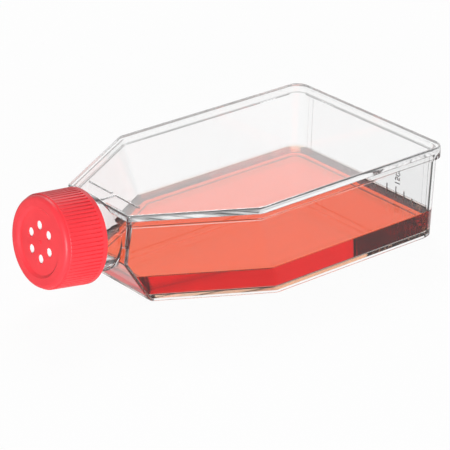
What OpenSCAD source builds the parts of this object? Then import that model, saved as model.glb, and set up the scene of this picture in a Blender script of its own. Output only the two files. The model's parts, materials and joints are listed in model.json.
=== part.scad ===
// Canted-neck tissue culture flask with a 75 cm2 growth area, lying on its wide face with a
// shallow fill of culture medium, and closed by a vented screw cap.
// Millimetres. +X runs from the neck to the base end, +Z is up, and the foot stands on z = 0.

/* [Rim] */
// Length of the rim from the neck end to the base end
rim_len = 127; // [115:1:145]
// Width of the rim over its two parallel sides
rim_w = 82; // [72:1:96]
// Width of the rim at the neck end
neck_end_w = 35; // [33:1:42]
// Length of the tapered shoulder along the rim
shoulder_len = 40; // [32:1:55]
// Overall height of the body
height = 36; // [34:0.5:44]
// Corner radius of the rim at the base end
base_corner_r = 5.5; // [3:0.5:9]
// Corner radius of the rim where the shoulders begin
shoulder_corner_r = 5; // [2:0.5:10]
// Corner radius of the rim at the neck end
neck_corner_r = 1.6; // [1:0.1:3]
// How far the lip stands out past the walls
lip_out = 1; // [0.6:0.1:2]
// Depth of the lip on the tray, below the seam
lip_depth = 2.6; // [1.5:0.1:4]
// Edge break along the bottom of the lip
lip_edge = 0.35; // [0.2:0.05:0.6]
// Width of the ledge inside the tray, level with the bottom of the lip
ledge = 0.3; // [0.1:0.05:0.6]

/* [Tray] */
// Thickness of the walls
wall = 1.6; // [1.2:0.1:2.2]
// Thickness of the floor that the cells grow on
floor_t = 1.5; // [1:0.1:2.2]
// Height of the foot rim that holds the floor off the table
foot_h = 0.8; // [0.4:0.1:1.5]
// Width of the foot rim
foot_w = 2.4; // [1.8:0.1:4]
// Inward draft of the two long walls, top to bottom
side_draft = 0.7; // [0.3:0.1:2]
// Inward draft of the base end wall, top to bottom
end_draft = 1.2; // [0.3:0.1:2.5]
// Inward lean of the two shoulder walls, top to bottom
shoulder_draft = 5; // [3:0.5:6]
// Height at which the end face turns into the ramp under the neck
ramp_h = 15.8; // [12:0.2:20]
// How far the ramp under the neck runs back along the base
ramp_run = 9; // [6:0.5:12]
// How far the two pads beside the neck stand out of the end face
pad_out = 0.5; // [0.2:0.05:0.8]
// Chamfer along the bottom edge
edge_chamfer = 0.6; // [0.3:0.1:1]
// Distance of the two raised strips on the base end from the centre line
strip_y = 30.6; // [26:0.1:31.5]
// Width of those strips
strip_w = 2.3; // [1.5:0.1:3]
// How far those strips stand out of the base end
strip_out = 0.15; // [0.1:0.05:0.3]

/* [Lid plate] */
// Thickness of the plate
plate_t = 2.2; // [1.8:0.1:3]
// Open line left along the weld
weld_gap = 0.06; // [0.04:0.01:0.15]
// Rounding along the top edge of the plate
plate_edge_r = 0.8; // [0.4:0.05:1.2]
// Height of the two locating ribs on top of the plate
rib_h = 0.45; // [0.2:0.05:0.6]
// Width of the locating ribs
rib_w = 0.9; // [0.4:0.05:1.2]
// Distance of the cross ribs from the neck end
rib_x = 7.3; // [5:0.1:10]
// Reach of each cross rib from the centre line
rib_reach = 14.2; // [10:0.2:15]
// Break between the two cross ribs on the centre line
rib_break = 2.6; // [1.5:0.1:4]

/* [Neck] */
// Height of the neck's axis where it crosses the neck end of the rim
neck_axis_z = 23.8; // [22.5:0.1:24]
// Upward cant of the neck
cant = 8; // [5:0.5:11]
// Outer radius of the neck under its thread
neck_r = 13; // [12:0.1:13.4]
// Wall of the neck
neck_wall = 2.6; // [2.2:0.1:3.2]
// Height of the thread over the neck
thread_h = 1.1; // [0.8:0.1:1.3]
// Flare where the neck runs into the end face
neck_flare = 0.7; // [0.4:0.1:1.2]
// Edge break round the mouth of the neck
mouth_edge = 0.6; // [0.3:0.05:1]

/* [Cap] */
// Length of bare neck between the end face and the cap
cap_gap = 8.4; // [6:0.1:12]
// Overall length of the cap
cap_len = 17; // [15:0.1:21]
// Wall of the cap between its bore and the roots of its ribs
cap_wall = 2; // [1.4:0.1:2.6]
// Radial clearance between the neck's thread crest and the bore of the cap
thread_clear = 0.4; // [0.3:0.05:0.6]
// Number of grip ribs round the cap
cap_ribs = 72; // [48:1:84]
// Height of the grip ribs
cap_rib_h = 0.45; // [0.3:0.05:0.7]
// Distance of the grip ribs' rounded ends from the face
cap_rib_stop = 1.9; // [0.8:0.1:2.5]
// Width of the smooth band at the open end of the cap
cap_band = 1.8; // [1:0.1:3]
// Taper of the cap from its open end to its face, on the radius
cap_taper = 0.35; // [0.1:0.05:0.8]
// Rounding of the cap's front edge
cap_edge_r = 1.5; // [0.6:0.1:2]
// Radius of the dished face
dish_r = 11.9; // [10:0.1:13]
// Depth of the dished face
dish_depth = 0.9; // [0.4:0.1:1.4]
// Slope of the dish's wall, on the radius
dish_slope = 1; // [0.4:0.1:1.4]
// Thickness of the face behind the dish, over the mouth of the neck
face_t = 1.5; // [1.2:0.1:2]
// Thickness of the thinner middle of the face, which the vent holes go through
grid_t = 0.5; // [0.4:0.1:0.9]
// Number of vent holes
vents = 6; // [4:1:7]
// Radius of each vent hole
vent_r = 1.6; // [1.2:0.1:1.9]
// Radius of the ring that the vent holes lie on
vent_ring_r = 5.85; // [5.2:0.05:6.4]
// How far the closed cap has been turned from a vent hole on top
cap_turned = 12; // [-30:1:30]
// Radius of the moulding point in the middle of the face
gate_r = 0.7; // [0.5:0.1:1.5]
// Height of that moulding point
gate_h = 0.25; // [0.15:0.05:0.5]

/* [Seal and vent] */
// Gap between the mouth of the neck and the inside of the cap's face
mouth_clear = 0.3; // [0.2:0.05:0.6]
// Radial clearance of the cap's sealing skirt in the neck
seal_clear = 0.08; // [0.05:0.01:0.1]
// Depth of the sealing skirt
seal_depth = 2.8; // [2:0.1:4]
// Wall of the sealing skirt
seal_wall = 1.1; // [0.8:0.1:1.3]
// Thickness of the vent membrane
membrane_t = 0.4; // [0.25:0.05:0.6]
// Clearance all round the membrane
membrane_clear = 0.1; // [0.06:0.01:0.15]

/* [Culture medium] */
// Height of the liquid surface above the table
medium_level = 10; // [6:0.5:11]
// Clearance of the liquid from the plastic
wet_gap = 0.05; // [0.03:0.01:0.1]

/* [Hidden] */
$fn = 96;
corner_steps = 8;
edge_steps = 4;
// Overlap of solids that are fused, and how far a cut runs past a face
tiny = 0.01;
past = 1;

seam_z = height - plate_t;
lip_z = seam_z - lip_depth;
floor_z = foot_h + floor_t;
bore_r = neck_r - neck_wall;
cap_bore_r = neck_r + thread_h + thread_clear;
cap_root_r = cap_bore_r + cap_wall;
cap_r = cap_root_r + cap_rib_h;
dish_floor = cap_len - dish_depth;
face_inside = dish_floor - face_t;
grid_inside = dish_floor - grid_t;
neck_reach = cap_gap + face_inside - mouth_clear;
seal_r = bore_r - seal_clear;
seal_bore_r = seal_r - seal_wall;
membrane_r = seal_bore_r - membrane_clear;

// Furthest point of the cap in front of the rim, from which the middle of the part follows
cap_front = (cap_gap + cap_len - cap_edge_r) * cos(cant)
    + (cap_root_r - cap_taper - cap_edge_r) * sin(cant) + cap_edge_r;
mid_x = (rim_len - cap_front) / 2;

// A plan is [neck-end x, neck-end half width, x where full width starts, half width, base-end x].
rim_plan = [0, neck_end_w / 2, shoulder_len, rim_w / 2, rim_len];
function shoulder_slope(p) = (p[3] - p[1]) / (p[2] - p[0]);

// The same plan with each side moved inwards by its own distance.
function moved_in(p, neck_end, shoulder, side, base_end) =
    let (
        k = shoulder_slope(p),
        drop = shoulder * sqrt(1 + k * k),
        half = p[3] - side
    ) [
        p[0] + neck_end,
        p[1] + k * neck_end - drop,
        p[0] + (half - p[1] + drop) / k,
        half,
        p[4] - base_end
    ];
function inset(p, d) = moved_in(p, d, d, d, d);

// Outside of the tray at height z: drafted walls above, and the ramp below ramp_h.
function tray_plan(z) =
    let (
        down = 1 - z / lip_z,
        back = z < ramp_h ? ramp_run * (1 - z / ramp_h) : 0
    ) moved_in(inset(rim_plan, lip_out), back, shoulder_draft * down, side_draft * down, end_draft * down);
function cavity_plan(z) = inset(tray_plan(z), wall);

function toward(a, b) = (b - a) / norm(b - a);
function corner_arc(a, p, b, r) =
    let (
        u = toward(p, a),
        w = toward(p, b),
        half = acos(u * w) / 2,
        c = p + toward([0, 0], u + w) * r / sin(half),
        turn = 180 - 2 * half,
        start = p + u * r / tan(half) - c
    ) [for (i = [0 : corner_steps])
        let (t = turn * i / corner_steps)
            c + [start[0] * cos(t) - start[1] * sin(t), start[0] * sin(t) + start[1] * cos(t)]];

// Outline of a plan, anticlockwise, with rounded corners reduced by less.
function outline(p, less = 0) =
    let (
        pts = [[p[0], -p[1]], [p[2], -p[3]], [p[4], -p[3]], [p[4], p[3]], [p[2], p[3]], [p[0], p[1]]],
        radii = [neck_corner_r, shoulder_corner_r, base_corner_r,
            base_corner_r, shoulder_corner_r, neck_corner_r]
    ) [for (i = [0 : 5])
        each corner_arc(pts[(i + 5) % 6], pts[i], pts[(i + 1) % 6], max(radii[i] - less, 0.5))];

// Solid through a stack of [height, outline] sections, all with as many points.
module loft(sections) {
    n = len(sections[0][1]);
    top = len(sections) - 1;
    points = [for (s = sections) each [for (q = s[1]) [q[0], q[1], s[0]]]];
    sides = [for (j = [0 : top - 1]) each [for (i = [0 : n - 1])
        let (a = j * n + i, b = j * n + (i + 1) % n)
            each [[a, a + n, b], [b, a + n, b + n]]]];
    bottom_face = [for (i = [0 : n - 1]) i];
    top_face = [for (i = [n - 1 : -1 : 0]) top * n + i];
    polyhedron(points, concat(sides, [bottom_face, top_face]));
}

module placed() {
    translate([-mid_x, 0, 0]) children();
}

// Local +Z runs out along the neck, from the point where its axis crosses the neck end of the rim.
module on_neck() {
    translate([0, 0, neck_axis_z]) rotate([0, cant - 90, 0]) children();
}

module tray_outside() {
    loft([
        [0, outline(inset(tray_plan(0), edge_chamfer), edge_chamfer)],
        [edge_chamfer, outline(tray_plan(edge_chamfer))],
        [ramp_h, outline(tray_plan(ramp_h))],
        [lip_z + tiny, outline(tray_plan(lip_z))]
    ]);
    loft([
        [lip_z, outline(inset(rim_plan, lip_edge), lip_edge)],
        [lip_z + lip_edge, outline(rim_plan)],
        [seam_z - weld_gap, outline(rim_plan)]
    ]);
}

// Room inside the tray from the floor up to z, kept gap clear of the plastic.
module cavity(z, gap = 0) {
    loft([
        [floor_z + gap, outline(inset(cavity_plan(floor_z), edge_chamfer + gap), wall + edge_chamfer)],
        [floor_z + edge_chamfer, outline(inset(cavity_plan(floor_z + edge_chamfer), gap), wall)],
        if (z > ramp_h) [ramp_h, outline(inset(cavity_plan(ramp_h), gap), wall)],
        [min(z, lip_z), outline(inset(cavity_plan(min(z, lip_z)), gap), wall)],
        if (z > lip_z) [lip_z + ledge, outline(inset(cavity_plan(lip_z), gap - ledge), wall - ledge)],
        if (z > lip_z) [z, outline(inset(cavity_plan(lip_z), gap - ledge), wall - ledge)]
    ]);
}

module neck_outside() {
    on_neck() rotate_extrude() polygon([
        [0, -ramp_run],
        [neck_r, -ramp_run],
        [neck_r, -lip_out],
        for (t = [0 : 18 : 90]) [neck_r + neck_flare * (1 - sin(t)), neck_flare * (1 - cos(t)) - lip_out / 2],
        [neck_r, neck_reach - mouth_edge],
        [neck_r - mouth_edge, neck_reach],
        [0, neck_reach]
    ]);
}

// Raised pads between the neck and the corners of the end face, above the parting line.
module neck_pads() {
    intersection() {
        translate([-pad_out, 0, 0]) tray_outside();
        translate([-past, -neck_end_w / 2, neck_axis_z - past])
            cube([past + lip_out + pad_out, neck_end_w, lip_z - neck_axis_z + past + tiny]);
    }
}

// Two flat strips up the base end, just inside its corners.
module base_strips() {
    for (side = [-1, 1]) intersection() {
        translate([strip_out, 0, 0]) tray_outside();
        translate([rim_len / 2, side * (strip_y + strip_w / 2) - strip_w / 2, edge_chamfer])
            cube([rim_len, strip_w, lip_z - edge_chamfer + tiny]);
    }
}

// Tray, lip and neck, moulded as one piece.
module flask_body() {
    color([0.9, 0.93, 0.95, 0.4]) placed() difference() {
        union() {
            tray_outside();
            neck_pads();
            base_strips();
            difference() {
                neck_outside();
                translate([-weld_gap, -rim_w / 2, seam_z - weld_gap]) cube([rim_len, rim_w, height]);
                translate([lip_out + ramp_run, -rim_w / 2, -tiny]) cube([rim_len, rim_w, height]);
            }
        }
        cavity(height);
        on_neck() translate([0, 0, -2 * ramp_run]) cylinder(h = 2 * ramp_run + neck_reach + past, r = bore_r);
        translate([0, 0, -tiny]) linear_extrude(foot_h + tiny)
            polygon(outline(inset(tray_plan(0), foot_w), foot_w));
    }
}

// Flat lid welded to the lip, with a rounded top edge and two locating ribs.
module top_plate() {
    color([0.93, 0.96, 0.98, 0.35]) placed() {
        loft([
            [seam_z, outline(rim_plan)],
            for (i = [0 : edge_steps])
                let (t = 90 * i / edge_steps, in = plate_edge_r * (1 - cos(t)))
                    [height - plate_edge_r * (1 - sin(t)), outline(inset(rim_plan, in), in)]
        ]);
        locating_ribs();
    }
}

module locating_ribs() {
    sink = rib_h / 2;
    start = plate_edge_r + rib_h;
    for (side = [-1, 1])
        translate([rib_x - rib_w / 2, side > 0 ? rib_break / 2 : -rib_reach, height - sink])
            cube([rib_w, rib_reach - rib_break / 2, rib_h + sink]);
    translate([start, -rib_break / 2, height - sink]) cube([rib_x - start, rib_w, rib_h + sink]);
}

module culture_medium() {
    color([0.95, 0.2, 0.22, 0.8]) placed() cavity(medium_level, wet_gap);
}

// Outline of the grip ribs, looking along the cap.
function rib_outline() = [for (i = [0 : cap_ribs - 1])
    let (pitch = 360 / cap_ribs, a = i * pitch)
        for (q = [[0, 0], [0.2, 0], [0.38, 1], [0.82, 1]])
            (cap_root_r + q[1] * cap_rib_h) * [cos(a + q[0] * pitch), sin(a + q[0] * pitch)]];

// Tapered profile of radius r at the open end, rounded by edge up to length len.
function cap_profile(r, len, edge) =
    let (front = r - cap_taper * len / cap_len) concat(
        [[0, 0], [r, 0]],
        [for (t = [0 : 15 : 90]) [front - edge * (1 - cos(t)), len - edge * (1 - sin(t))]],
        [[0, len]]
    );

// Ribbed cap with a dished face, vent holes, and a sealing skirt that plugs the neck.
module cap_shell() {
    color([0.93, 0.16, 0.2]) placed() on_neck() translate([0, 0, cap_gap]) difference() {
        union() {
            rotate_extrude() polygon(cap_profile(cap_root_r, cap_len, cap_edge_r));
            intersection() {
                rotate_extrude() polygon(cap_profile(cap_r, cap_len - cap_rib_stop, cap_rib_h));
                linear_extrude(cap_len) polygon(rib_outline());
            }
            cylinder(h = cap_band, r = cap_r);
        }
        difference() {
            translate([0, 0, -tiny]) cylinder(h = face_inside + tiny, r = cap_bore_r);
            translate([0, 0, face_inside - mouth_clear - seal_depth])
                cylinder(h = mouth_clear + seal_depth + past, r = seal_r);
        }
        translate([0, 0, -past]) cylinder(h = grid_inside + past, r = seal_bore_r);
        difference() {
            translate([0, 0, dish_floor])
                cylinder(h = dish_depth + tiny, r1 = dish_r - dish_slope / 2, r2 = dish_r + dish_slope / 2);
            cylinder(h = dish_floor + gate_h, r = gate_r);
        }
        for (i = [0 : vents - 1])
            rotate(cap_turned + i * 360 / vents)
                translate([vent_ring_r, 0, 0]) cylinder(h = cap_len, r = vent_r);
    }
}

// Breathable disc behind the vent holes.
module vent_membrane() {
    color([0.96, 0.96, 0.95]) placed() on_neck()
        translate([0, 0, cap_gap + grid_inside - membrane_clear - membrane_t])
            cylinder(h = membrane_t, r = membrane_r);
}

flask_body();
top_plate();
culture_medium();
cap_shell();
vent_membrane();
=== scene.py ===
"""Looks of a canted-neck cell culture flask: clear polystyrene, red medium, vented red screw cap."""
import json
import math

import bpy
from mathutils import Matrix, Vector


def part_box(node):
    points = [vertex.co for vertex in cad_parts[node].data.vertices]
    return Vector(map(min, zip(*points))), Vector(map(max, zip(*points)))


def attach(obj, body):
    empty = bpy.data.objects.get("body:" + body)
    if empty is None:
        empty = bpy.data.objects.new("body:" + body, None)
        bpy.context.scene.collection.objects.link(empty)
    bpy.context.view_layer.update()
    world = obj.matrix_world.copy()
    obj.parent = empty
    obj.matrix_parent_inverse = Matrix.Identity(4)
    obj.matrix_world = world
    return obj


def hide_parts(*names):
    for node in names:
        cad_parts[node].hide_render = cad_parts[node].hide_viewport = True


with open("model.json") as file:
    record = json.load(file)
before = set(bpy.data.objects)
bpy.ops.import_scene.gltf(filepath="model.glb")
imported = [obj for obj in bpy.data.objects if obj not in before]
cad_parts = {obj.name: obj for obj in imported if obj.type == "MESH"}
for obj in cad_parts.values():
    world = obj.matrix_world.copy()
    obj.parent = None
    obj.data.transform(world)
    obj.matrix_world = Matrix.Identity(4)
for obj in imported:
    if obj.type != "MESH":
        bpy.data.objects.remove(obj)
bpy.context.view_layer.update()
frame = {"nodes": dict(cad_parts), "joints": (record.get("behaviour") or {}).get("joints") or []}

MM = 0.001
lid_end_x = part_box("top_plate")[1].x
liquid_top_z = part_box("culture_medium")[1].z
joints = {joint["name"]: joint for joint in frame["joints"]}

# Neck frame: Z runs out along the neck from where its axis crosses the neck end of the rim, X is up
neck_out = Vector(joints["cap_turn"]["axis"]).normalized()
neck_up = Vector((neck_out.z, 0, -neck_out.x))
neck_place = Matrix.Translation(joints["cap_turn"]["pos_m"]) @ Matrix(
    (neck_up, (0, 1, 0), neck_out)).transposed().to_4x4()

# Three-start thread of the neck and of the cap: first is where a start begins along the neck, and
# sweep is how far it runs round it, in degrees
thread_starts = 3
thread_lead = 9 * MM
thread_foot_w = 1.6 * MM
thread_top_w = 0.7 * MM
neck_thread_root_r = 12.95 * MM
neck_thread_crest_r = 14.1 * MM
neck_thread_first = 12.2 * MM
neck_thread_sweep = 300
cap_thread_root_r = 14.6 * MM
cap_thread_crest_r = 13.4 * MM
cap_thread_first = 10.8 * MM
cap_thread_sweep = 270

# Roundings that the polished mould leaves
tray_edge_r = 0.2 * MM
lid_edge_r = 0.15 * MM
cap_edge_r = 0.13 * MM
thread_edge_r = 0.18 * MM
mark_edge_r = 0.12 * MM

# Base end of the tray: how far the rim stands out past the wall, and how the wall leans in below it
rim_reach = 1.0 * MM
end_draft = 1.2 * MM
end_wall_h = 31.2 * MM

# Graduation on the base end: each line's place across the wall, its foot and its head, and each
# number's words, place across the wall and foot
graduation_lines = [(y * MM, foot * MM, head * MM) for y, foot, head in (
    (-5.4, 4.9, 8.4), (-12, 4.4, 12.1), (-16.9, 4.4, 12.2), (-21.3, 4.4, 11.7), (-25.6, 4.9, 10.3))]
graduation_numbers = (("200", -27.8 * MM, 2.6 * MM), ("150", -16.2 * MM, 12.8 * MM))
line_depth = 0.5 * MM
line_w = 0.45 * MM
number_size = 3.6 * MM
number_rise = 0.2 * MM

# Medium: how far it reaches into the plastic that it wets, how high it climbs the walls, and the
# steps in width and drop by which it falls back to its level
wetting = 0.2 * MM
climb = 0.5 * MM
meniscus_steps = [(width * MM, drop * MM) for width, drop in ((0.3, 0.38), (0.4, 0.23), (0.6, 0.09))]
meniscus_merge = 0.35 * MM

# Limits for selecting, merging and smoothing: lengths in metres, angles in degrees
hair = 0.01 * MM
same_point = 2e-6
flat_angle = 0.6
sharp_angle = 24
smooth_angle = 32

polystyrene_ior = 1.585


# ---------------------------------------------------------------- shader groups

def shader_group(name, inputs, outputs):
    """An empty node group; inputs and outputs are (name, kind) pairs."""
    tree = bpy.data.node_groups.new(name, "ShaderNodeTree")
    for side, sockets in (("INPUT", inputs), ("OUTPUT", outputs)):
        for socket, kind in sockets:
            tree.interface.new_socket(socket, in_out=side, socket_type="NodeSocket" + kind)
    return tree, tree.nodes.new("NodeGroupInput"), tree.nodes.new("NodeGroupOutput")


def feed(tree, value, socket):
    """Sets a socket from a number or links it from another socket."""
    if isinstance(value, (int, float)):
        socket.default_value = value
    else:
        tree.links.new(value, socket)


def noise(tree, coordinates, scale, detail=2):
    """Noise over the given coordinates; scale is a number per metre or a socket."""
    node = tree.nodes.new("ShaderNodeTexNoise")
    tree.links.new(coordinates, node.inputs["Vector"])
    feed(tree, scale, node.inputs["Scale"])
    node.inputs["Detail"].default_value = detail
    return node.outputs["Fac"]


def math_node(tree, operation, *values):
    """A Math node fed by numbers or sockets; returns its output."""
    node = tree.nodes.new("ShaderNodeMath")
    node.operation = operation
    for socket, value in zip(node.inputs, values):
        feed(tree, value, socket)
    return node.outputs[0]


def product(tree, result, *factors):
    """Several values multiplied together."""
    for factor in factors:
        result = math_node(tree, "MULTIPLY", result, factor)
    return result


def smooth_step(tree, value, low, high):
    """0 at low, rising smoothly to 1 at high."""
    node = tree.nodes.new("ShaderNodeMapRange")
    node.interpolation_type = "SMOOTHSTEP"
    tree.links.new(value, node.inputs["Value"])
    node.inputs["From Min"].default_value = low
    node.inputs["From Max"].default_value = high
    return node.outputs[0]


def object_place(tree):
    """Object coordinates."""
    return tree.nodes.new("ShaderNodeTexCoord").outputs["Object"]


def make_grain_group():
    """Moulded surface: a bump of the given scale and depth, and a roughness that wanders broadly."""
    tree, given, result = shader_group(
        "moulded_surface",
        [("Scale", "Float"), ("Depth", "Float"), ("Roughness", "Float"), ("Spread", "Float")],
        [("Normal", "Vector"), ("Roughness", "Float")])
    place = object_place(tree)
    bump = tree.nodes.new("ShaderNodeBump")
    tree.links.new(given.outputs["Depth"], bump.inputs["Distance"])
    tree.links.new(noise(tree, place, given.outputs["Scale"]), bump.inputs["Height"])
    tree.links.new(bump.outputs["Normal"], result.inputs["Normal"])
    broad = noise(tree, place, scale=140, detail=3)
    wander = math_node(tree, "MULTIPLY", math_node(tree, "SUBTRACT", broad, 0.5), given.outputs["Spread"])
    rough = math_node(tree, "MAXIMUM", math_node(tree, "ADD", wander, given.outputs["Roughness"]), 0)
    tree.links.new(rough, result.inputs["Roughness"])
    return tree


def make_tone_group():
    """Colour that drifts between two close tones in soft patches."""
    tree, given, result = shader_group(
        "drifting_tone",
        [("Tone", "Color"), ("Other Tone", "Color"), ("Scale", "Float")],
        [("Color", "Color")])
    waves = noise(tree, object_place(tree), given.outputs["Scale"], detail=3)
    patches = smooth_step(tree, waves, low=0.35, high=0.65)
    mix = tree.nodes.new("ShaderNodeMix")
    mix.data_type = "RGBA"
    tree.links.new(patches, mix.inputs["Factor"])
    tree.links.new(given.outputs["Tone"], mix.inputs["A"])
    tree.links.new(given.outputs["Other Tone"], mix.inputs["B"])
    tree.links.new(mix.outputs["Result"], result.inputs["Color"])
    return tree


grain_group = make_grain_group()
tone_group = make_tone_group()


# ---------------------------------------------------------------- materials

def new_material(name):
    """A named material with its node tree and its Principled shader."""
    material = bpy.data.materials.new(name)
    material.use_nodes = True
    return material, material.node_tree, material.node_tree.nodes["Principled BSDF"]


def set_sockets(shader, **values):
    """Sets plain values on a shader's sockets, named with underscores for spaces."""
    for name, value in values.items():
        shader.inputs[name.replace("_", " ")].default_value = value


def use_grain(tree, shader, scale, depth, roughness=0.0, spread=0.0):
    """Gives a shader the moulded surface; a polished one has no spread and keeps its own roughness.

    scale is per metre and depth is in metres.
    """
    grain = tree.nodes.new("ShaderNodeGroup")
    grain.node_tree = grain_group
    set_sockets(grain, Scale=scale, Depth=depth, Roughness=roughness, Spread=spread)
    tree.links.new(grain.outputs["Normal"], shader.inputs["Normal"])
    if spread:
        tree.links.new(grain.outputs["Roughness"], shader.inputs["Roughness"])


def use_tone(tree, shader, tone, other_tone, scale):
    """Gives a shader a colour that drifts between two tones; scale is per metre."""
    drift = tree.nodes.new("ShaderNodeGroup")
    drift.node_tree = tone_group
    set_sockets(drift, Tone=(*tone, 1), Other_Tone=(*other_tone, 1), Scale=scale)
    tree.links.new(drift.outputs["Color"], shader.inputs["Base Color"])


def clear_plastic(name):
    """Polished colourless polystyrene with the faint waves of a moulded sheet."""
    material, tree, shader = new_material(name)
    set_sockets(shader, Roughness=0.0, IOR=polystyrene_ior, Transmission_Weight=1.0)
    use_tone(tree, shader, (1.0, 1.0, 1.0), (0.995, 0.999, 1.0), scale=30)
    use_grain(tree, shader, scale=60, depth=2e-6)
    return material


def glossy_plastic(name):
    """The same polystyrene with a bright polish on its outside."""
    material = clear_plastic(name)
    tree = material.node_tree
    shader = tree.nodes["Principled BSDF"]
    set_sockets(shader, Coat_IOR=1.9, Coat_Roughness=0.03)
    inside = tree.nodes.new("ShaderNodeNewGeometry").outputs["Backfacing"]
    tree.links.new(math_node(tree, "SUBTRACT", 1, inside), shader.inputs["Coat Weight"])
    return material


def frosted_plastic():
    """Polystyrene frosted in the mould, for the graduation."""
    material, tree, shader = new_material("frosted_marks")
    set_sockets(shader, IOR=polystyrene_ior, Transmission_Weight=0.5)
    use_tone(tree, shader, (0.93, 0.95, 0.96), (0.86, 0.88, 0.9), scale=400)
    use_grain(tree, shader, scale=4000, depth=1e-5, roughness=0.6, spread=0.15)
    return material


def red_liquid():
    """Culture medium with its red indicator."""
    material, tree, shader = new_material("red_medium")
    set_sockets(shader, Roughness=0.0, IOR=1.34, Transmission_Weight=1.0)
    use_tone(tree, shader, (1.0, 1.0, 1.0), (1.0, 0.985, 0.98), scale=40)
    absorption = tree.nodes.new("ShaderNodeVolumeAbsorption")
    set_sockets(absorption, Color=(0.997, 0.46, 0.03, 1), Density=370)
    tree.links.new(absorption.outputs[0], tree.nodes["Material Output"].inputs["Volume"])
    return material


def cap_plastic():
    """Satin red polyethylene with a fine moulded grain."""
    material, tree, shader = new_material("red_cap_plastic")
    set_sockets(shader, Specular_IOR_Level=0.35)
    use_tone(tree, shader, (0.80, 0.04, 0.052), (0.75, 0.033, 0.045), scale=90)
    use_grain(tree, shader, scale=2600, depth=9e-6, roughness=0.42, spread=0.2)
    return material


def membrane_film():
    """Matt white breathable film, of matted fibres."""
    material, tree, shader = new_material("vent_film")
    set_sockets(shader, Specular_IOR_Level=0.2)
    use_tone(tree, shader, (0.97, 0.97, 0.96), (0.92, 0.92, 0.91), scale=1500)
    use_grain(tree, shader, scale=5200, depth=2.5e-5, roughness=0.85, spread=0.1)
    return material


# ---------------------------------------------------------------- modelling

def make_active(piece):
    """Makes a piece the active one, with nothing else selected."""
    bpy.ops.object.select_all(action="DESELECT")
    piece.select_set(True)
    bpy.context.view_layer.objects.active = piece


def edit(piece, action="DESELECT"):
    """Opens a piece in edit mode with nothing selected, or all with the action SELECT."""
    make_active(piece)
    bpy.ops.object.mode_set(mode="EDIT")
    bpy.ops.mesh.select_all(action=action)


def close_edit():
    """Leaves edit mode, which writes the mesh."""
    bpy.ops.object.mode_set(mode="OBJECT")


def select_points(piece, wanted):
    """Selects the points for which wanted is true, in edit mode."""
    bpy.ops.mesh.select_all(action="DESELECT")
    close_edit()
    for point in piece.data.vertices:
        point.select = wanted(point.co)
    bpy.ops.object.mode_set(mode="EDIT")


def copied_node(node, name):
    """A merged copy of a CAD node's mesh, with its flat faces whole again."""
    mesh = frame["nodes"][node].data.copy()
    mesh.name = name
    piece = bpy.data.objects.new(name, mesh)
    bpy.context.scene.collection.objects.link(piece)
    make_active(piece)
    bpy.ops.mesh.customdata_custom_splitnormals_clear()
    edit(piece, "SELECT")
    bpy.ops.mesh.remove_doubles(threshold=same_point)
    bpy.ops.mesh.dissolve_limited(angle_limit=math.radians(flat_angle))
    close_edit()
    mesh.materials.clear()
    return piece


def apply_modifier(piece, kind, **settings):
    """Adds a modifier with these settings and applies it."""
    modifier = piece.modifiers.new(kind.lower(), kind)
    for name, value in settings.items():
        setattr(modifier, name, value)
    make_active(piece)
    bpy.ops.object.modifier_apply(modifier=modifier.name)


def round_edges(piece, radius):
    """Rounds the sharp edges."""
    apply_modifier(piece, "BEVEL", width=radius, segments=2, limit_method="ANGLE",
                   angle_limit=math.radians(sharp_angle), use_clamp_overlap=True)


def smooth_flats(piece):
    """Smooths rounded edges while broad faces keep their flat shading."""
    make_active(piece)
    bpy.ops.object.shade_smooth_by_angle(angle=math.radians(smooth_angle))
    apply_modifier(piece, "WEIGHTED_NORMAL", mode="FACE_AREA", weight=100, keep_sharp=True)


def fuse(piece, parts):
    """Unites the parts with the piece and deletes them."""
    for part in parts:
        apply_modifier(piece, "BOOLEAN", operation="UNION", solver="EXACT", object=part)
        bpy.data.objects.remove(part)


def finish_piece(piece, material, body, slot, *nodes):
    """Gives a piece its material and body, and hides the CAD nodes that it stands for; slot is not used.
    """
    piece.data.materials.clear()
    piece.data.materials.append(material)
    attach(piece, body)
    if nodes:
        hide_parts(*nodes)


# ---------------------------------------------------------------- threads

def turn_of(point):
    """Angle of a point round the neck's axis, in degrees, counted from just before its X axis."""
    return (math.degrees(math.atan2(point.y, point.x)) + 0.5) % 360


def thread_start(name, root_r, crest_r, first, turn, sweep):
    """One start of a thread in the neck frame, its root sunk in the wall and its ends run out."""
    rings = 60
    end_zone = 1    # degrees: of the crest, only the end points are this near an end
    end_height = 0.1    # share of the crest's height that is left there
    bpy.ops.mesh.primitive_plane_add(size=1)
    start = bpy.context.object
    start.name = name
    edit(start, "SELECT")
    bpy.ops.transform.resize(value=(abs(crest_r - root_r), thread_foot_w, 1), center_override=(0, 0, 0))
    bpy.ops.transform.rotate(value=math.radians(90), orient_axis="X", center_override=(0, 0, 0))
    bpy.ops.transform.translate(value=((root_r + crest_r) / 2, 0, first))
    select_points(start, lambda co: abs(co.x - crest_r) < hair)
    bpy.ops.transform.resize(value=(1, 1, thread_top_w / thread_foot_w), center_override=(0, 0, first))
    close_edit()
    apply_modifier(start, "SCREW", angle=math.radians(sweep), screw_offset=thread_lead * sweep / 360,
                   steps=rings, render_steps=rings, use_normal_calculate=True)
    edit(start, "SELECT")
    bpy.ops.mesh.fill_holes(sides=4)
    bpy.ops.mesh.normals_make_consistent(inside=False)
    select_points(start, lambda co: abs(co.xy.length - crest_r) < hair and turn_of(co) % sweep < end_zone)
    run_out = (root_r + end_height * (crest_r - root_r)) / crest_r
    bpy.ops.transform.resize(value=(run_out, run_out, 1), center_override=(0, 0, 0))
    bpy.ops.mesh.select_all(action="SELECT")
    bpy.ops.transform.rotate(value=math.radians(turn), orient_axis="Z", center_override=(0, 0, 0))
    close_edit()
    round_edges(start, thread_edge_r)
    start.data.transform(neck_place)
    return start


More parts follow.
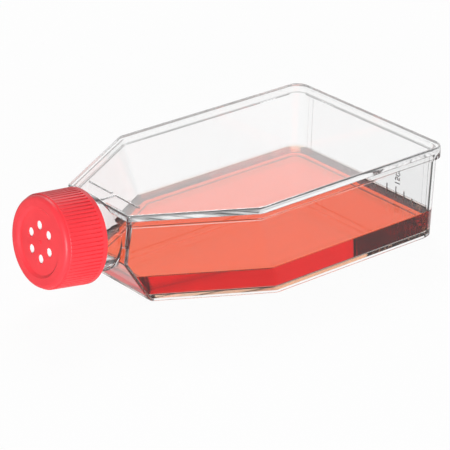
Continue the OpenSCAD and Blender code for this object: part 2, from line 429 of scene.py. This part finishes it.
def thread(name, root_r, crest_r, first, sweep):
    """All the starts of a thread, evenly round the neck."""
    return [thread_start(f"{name}_{i + 1}", root_r, crest_r, first, 360 * i / thread_starts, sweep)
            for i in range(thread_starts)]


# ---------------------------------------------------------------- pieces

def add_tray():
    """Tray with its neck thread, moulded in one."""
    tray = copied_node("flask_body", "tray")
    round_edges(tray, tray_edge_r)
    fuse(tray, thread("neck_thread", neck_thread_root_r, neck_thread_crest_r, neck_thread_first,
                      neck_thread_sweep))
    smooth_flats(tray)
    finish_piece(tray, clear_plastic("clear_tray_plastic"), "flask", "clear_tray", "flask_body")


def end_wall_x(height):
    """Outside of the drafted base end wall at this height."""
    return lid_end_x - rim_reach - end_draft * (1 - height / end_wall_h)


def end_line(y, foot, head):
    """One raised graduation line on the base end."""
    middle = (foot + head) / 2
    bpy.ops.mesh.primitive_cube_add(size=1)
    line = bpy.context.object
    edit(line, "SELECT")
    bpy.ops.transform.resize(value=(line_depth, line_w, head - foot), center_override=(0, 0, 0))
    bpy.ops.transform.translate(value=(end_wall_x(middle), y, middle))
    close_edit()
    round_edges(line, mark_edge_r)
    return line


def end_number(words, y, foot):
    """A raised number on the base end, its words running up the wall."""
    bpy.ops.object.text_add()
    number = bpy.context.object
    number.data.body = words
    number.data.size = number_size
    number.data.extrude = number_rise
    bpy.ops.object.convert(target="MESH")
    edit(number, "SELECT")
    bpy.ops.mesh.remove_doubles(threshold=same_point)
    close_edit()
    words_up = Matrix(((0, 0, 1), (0, -1, 0), (1, 0, 0))).transposed().to_4x4()
    number.data.transform(Matrix.Translation((end_wall_x(foot), y, foot)) @ words_up)
    return number


def add_graduation():
    """Frosted lines and numbers moulded on the base end."""
    lines = [end_line(*line) for line in graduation_lines]
    numbers = [end_number(*number) for number in graduation_numbers]
    graduation = lines[0]
    graduation.name = "graduation"
    make_active(graduation)
    for mark in lines + numbers:
        mark.select_set(True)
    bpy.ops.object.join()
    smooth_flats(graduation)
    finish_piece(graduation, frosted_plastic(), "flask", "clear_tray")


def add_lid():
    """Lid plate with its locating ribs."""
    lid = copied_node("top_plate", "lid")
    round_edges(lid, lid_edge_r)
    smooth_flats(lid)
    finish_piece(lid, glossy_plastic("clear_lid_plastic"), "flask", "clear_lid", "top_plate")


def add_medium():
    """The liquid, wetting the plastic, with its surface drawn up at the walls."""
    medium = copied_node("culture_medium", "medium")
    edit(medium, "SELECT")
    bpy.ops.transform.shrink_fatten(value=wetting)
    select_points(medium, lambda co: co.z > liquid_top_z - wetting / 2)
    bpy.ops.transform.translate(value=(0, 0, climb))
    for width, drop in meniscus_steps:
        bpy.ops.mesh.inset(thickness=width, depth=-drop)
        bpy.ops.mesh.remove_doubles(threshold=meniscus_merge)
    close_edit()
    smooth_flats(medium)
    finish_piece(medium, red_liquid(), "flask", "medium", "culture_medium")


def add_cap():
    """Cap shell, with the three-start thread inside it."""
    material = cap_plastic()
    cap = copied_node("cap_shell", "cap")
    round_edges(cap, cap_edge_r)
    smooth_flats(cap)
    finish_piece(cap, material, "cap", "red_cap", "cap_shell")
    for start in thread("cap_thread", cap_thread_root_r, cap_thread_crest_r, cap_thread_first,
                        cap_thread_sweep):
        smooth_flats(start)
        finish_piece(start, material, "cap", "red_cap")


def dress_membrane():
    """The membrane keeps its CAD mesh and gets its film."""
    mesh = frame["nodes"]["vent_membrane"].data
    mesh.materials.clear()
    mesh.materials.append(membrane_film())


add_tray()
add_graduation()
add_lid()
add_medium()
add_cap()
dress_membrane()


# ---------------------------------------------------------------- stage

# A ray that runs to and fro inside one wall mirrors this many times, fewest and most, and has
# crossed at most this many surfaces
wall_mirrors = (10, 24)
wall_crossings = 4

# Light of the dark room and on matt surfaces, as shares of the white studio; how much of the floor
# glows white to the camera, and how much dimmer it is where the outside of the flask mirrors it
room_light = 0.02
matt_light = 0.3
floor_glow = 0.95
floor_dim = 0.25


def light_path(tree, output):
    """One output of Light Path."""
    return tree.nodes.new("ShaderNodeLightPath").outputs[output]


def at_least(tree, count, fewest):
    """1 for a ray whose count of this kind is fewest or more."""
    return math_node(tree, "GREATER_THAN", light_path(tree, count), fewest - 0.5)


def at_most(tree, count, most):
    """1 for a ray whose count of this kind is most or fewer."""
    return math_node(tree, "LESS_THAN", light_path(tree, count), most + 0.5)


def turned_back(tree):
    """1 for a ray turned back inside the flask, but 0 where it has run to and fro inside one wall."""
    turned = at_least(tree, "Glossy Depth", 1)
    entered = at_least(tree, "Transmission Depth", 1)
    never_matt = at_most(tree, "Diffuse Depth", 0)
    fewest, most = wall_mirrors
    in_wall = product(tree, at_least(tree, "Glossy Depth", fewest), at_most(tree, "Glossy Depth", most),
                      at_most(tree, "Transmission Depth", wall_crossings))
    return product(tree, turned, entered, never_matt, math_node(tree, "SUBTRACT", 1, in_wall))


def mixed_shader(tree, share, first, second):
    """The first shader, and by its share the second."""
    node = tree.nodes.new("ShaderNodeMixShader")
    for source, socket in zip((share, first, second), node.inputs):
        tree.links.new(source, socket)
    return node.outputs[0]


def floor_material():
    """Pale floor that camera and glass rays see as white, with a soft share of shadow."""
    material, tree, shader = new_material("table_white")
    set_sockets(shader, Base_Color=(0.95, 0.95, 0.95, 1), Roughness=1.0, Specular_IOR_Level=0.0)
    glow = tree.nodes.new("ShaderNodeEmission")
    clear = tree.nodes.new("ShaderNodeBsdfTransparent")
    share = math_node(tree, "MULTIPLY_ADD", light_path(tree, "Is Camera Ray"), floor_glow,
                      light_path(tree, "Is Glossy Ray"))
    mirrored = product(tree, light_path(tree, "Is Reflection Ray"), at_most(tree, "Transmission Depth", 0))
    tree.links.new(math_node(tree, "MULTIPLY_ADD", mirrored, -floor_dim, 1), glow.inputs["Strength"])
    pale = mixed_shader(tree, share, shader.outputs[0], glow.outputs[0])
    surface = mixed_shader(tree, turned_back(tree), pale, clear.outputs[0])
    tree.links.new(surface, tree.nodes["Material Output"].inputs["Surface"])
    return material


def add_floor(size, height):
    """The floor that the flask stands on."""
    bpy.ops.mesh.primitive_plane_add(size=size, location=(0, 0, height))
    floor = bpy.context.object
    floor.name = "floor"
    floor.data.materials.append(floor_material())


def toward(tree, direction, low, high):
    """Rises from 0 to 1 as a ray of the world turns towards a direction; low and high are cosines."""
    place = tree.nodes.new("ShaderNodeTexCoord")
    facing = tree.nodes.new("ShaderNodeVectorMath")
    facing.operation = "DOT_PRODUCT"
    tree.links.new(place.outputs["Generated"], facing.inputs[0])
    facing.inputs[1].default_value = direction
    return smooth_step(tree, facing.outputs["Value"], low, high)


def add_world():
    """White studio, dimmer for matt surfaces; rays turned back inside see a dark room with white cards.

    The front card shows only to rays that have been through more than one wall.
    """
    world = bpy.data.worlds.new("studio")
    bpy.context.scene.world = world
    world.use_nodes = True
    world.cycles.sampling_method = "NONE"
    tree = world.node_tree
    back_card = toward(tree, (0.63, 0.777, 0), low=0.55, high=0.7)
    side_card = toward(tree, (0.68, -0.72, -0.145), low=0.97, high=0.99)
    deep = at_least(tree, "Transmission Depth", wall_crossings + 1)
    front_card = product(tree, toward(tree, (-0.17, -0.985, 0), low=0.6, high=0.75), deep)
    cards = math_node(tree, "MAXIMUM", math_node(tree, "MAXIMUM", back_card, side_card), front_card)
    cards = product(tree, cards, at_most(tree, "Glossy Depth", wall_mirrors[1]))
    room = math_node(tree, "MULTIPLY_ADD", cards, 1 - room_light, room_light)
    darker = math_node(tree, "SUBTRACT", room, 1)
    strength = math_node(tree, "MULTIPLY_ADD", turned_back(tree), darker, 1)
    matt = at_least(tree, "Diffuse Depth", 1)
    soft = math_node(tree, "MULTIPLY_ADD", matt, matt_light - 1, 1)
    background = tree.nodes["Background"]
    background.inputs["Color"].default_value = (1, 1, 1, 1)
    tree.links.new(product(tree, strength, soft), background.inputs["Strength"])


def add_lamp(name, place, size, power):
    """Square lamp that faces the flask and isn't seen through the clear plastic."""
    light = bpy.data.lights.new(name, "AREA")
    light.shape = "RECTANGLE"
    light.size = size
    light.size_y = size
    light.energy = power
    lamp = bpy.data.objects.new(name, light)
    bpy.context.scene.collection.objects.link(lamp)
    lamp.location = place
    lamp.visible_transmission = False
    lamp.rotation_euler = (-Vector(place)).to_track_quat("-Z", "Y").to_euler()


def add_camera(azimuth, elevation, distance, target, lens):
    """Camera that looks at target from azimuth (0 looks along +Y) and elevation."""
    a, e = math.radians(azimuth), math.radians(elevation)
    back = Vector((math.sin(a) * math.cos(e), -math.cos(a) * math.cos(e), math.sin(e)))
    camera = bpy.data.objects.new("camera", bpy.data.cameras.new("camera"))
    bpy.context.scene.collection.objects.link(camera)
    camera.location = Vector(target) + back * distance
    camera.rotation_euler = back.to_track_quat("Z", "Y").to_euler()
    camera.data.lens = lens
    camera.data.sensor_width = 36
    camera.data.clip_start = 0.01
    bpy.context.scene.camera = camera


add_floor(size=60, height=-0.2 * MM)
add_world()
add_lamp("key", place=(-0.6, -0.75, 0.15), size=0.3, power=11)
add_lamp("fill", place=(0.45, 0.65, 0.9), size=0.5, power=5)
add_camera(azimuth=-39.07, elevation=25.05, distance=0.8323, target=(0.0050, -0.0021, 0.0111), lens=184.5)

bpy.context.scene.view_settings.view_transform = "Standard"
cycles = bpy.context.scene.cycles
cycles.max_bounces = 80
cycles.transmission_bounces = 26
cycles.glossy_bounces = 60
